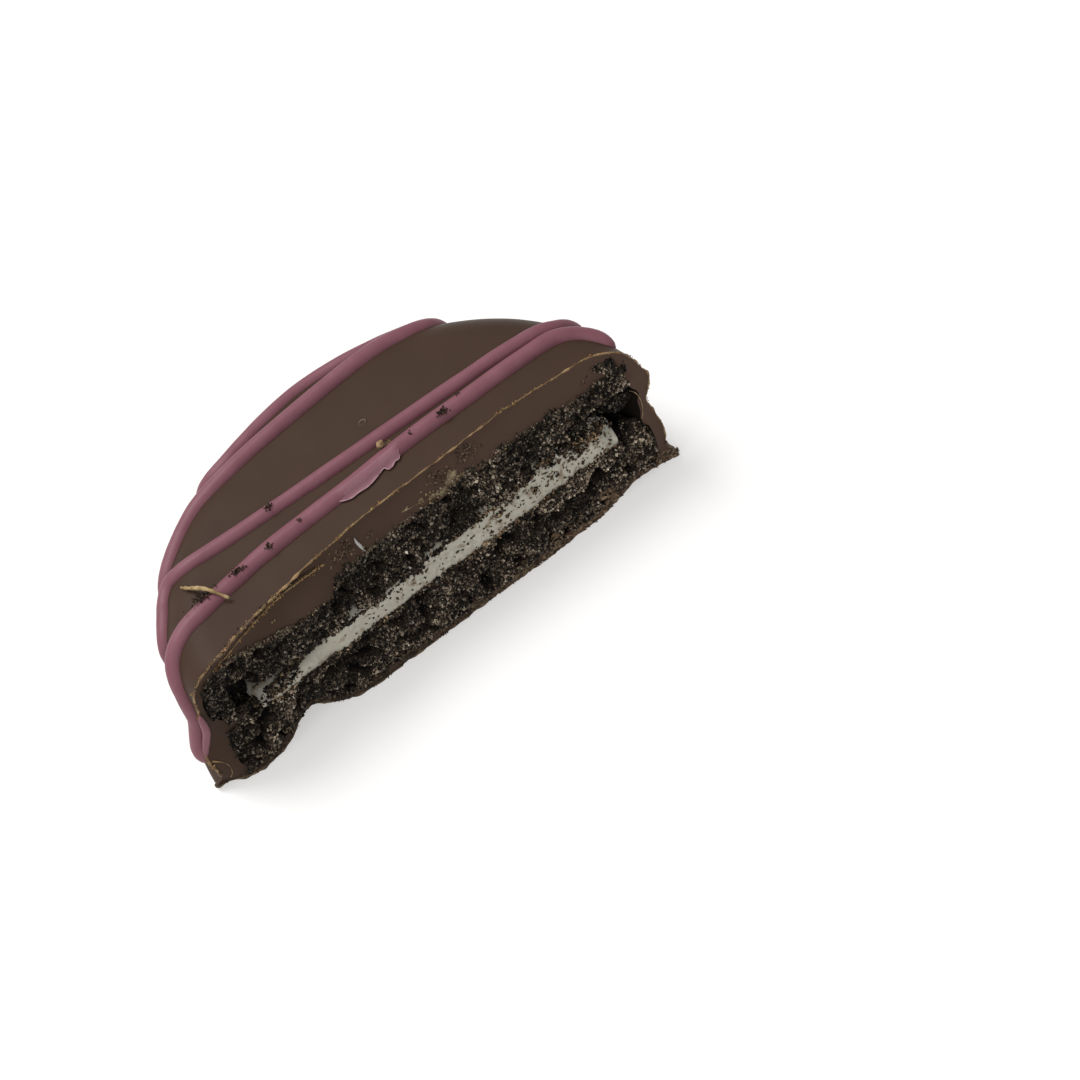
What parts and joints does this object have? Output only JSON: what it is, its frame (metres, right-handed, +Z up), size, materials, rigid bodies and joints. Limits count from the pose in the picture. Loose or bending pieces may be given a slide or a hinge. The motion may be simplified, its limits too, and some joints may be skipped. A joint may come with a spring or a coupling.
{
  "type": "chocolate sandwich cookie half",
  "caption": "Broken half of a round sandwich cookie: dark wafers around a cream filling, coated in chocolate and drizzled with pink icing, to eat or to dress a food scene",
  "frame": {"origin": "on the resting plane, under the middle of the half cookie's bounding box", "axes": "+X along the break, towards the right end as the break is faced; +Y from the break into the half; +Z up, through the layers; the break faces -Y"},
  "size_m": [0.0493, 0.0224, 0.0155],
  "materials": {
    "chocolate": "dark brown chocolate coating with a soft sheen, and pink icing lines",
    "dark_wafer": "nearly black baked wafer, matte and crumbly where it is broken",
    "cream_filling": "off-white cream filling, matte"
  },
  "bodies": {
    "root": {"coat": "chocolate", "wafer_bottom": "dark_wafer", "cream": "cream_filling", "wafer_top": "dark_wafer"}
  },
  "joints": []
}
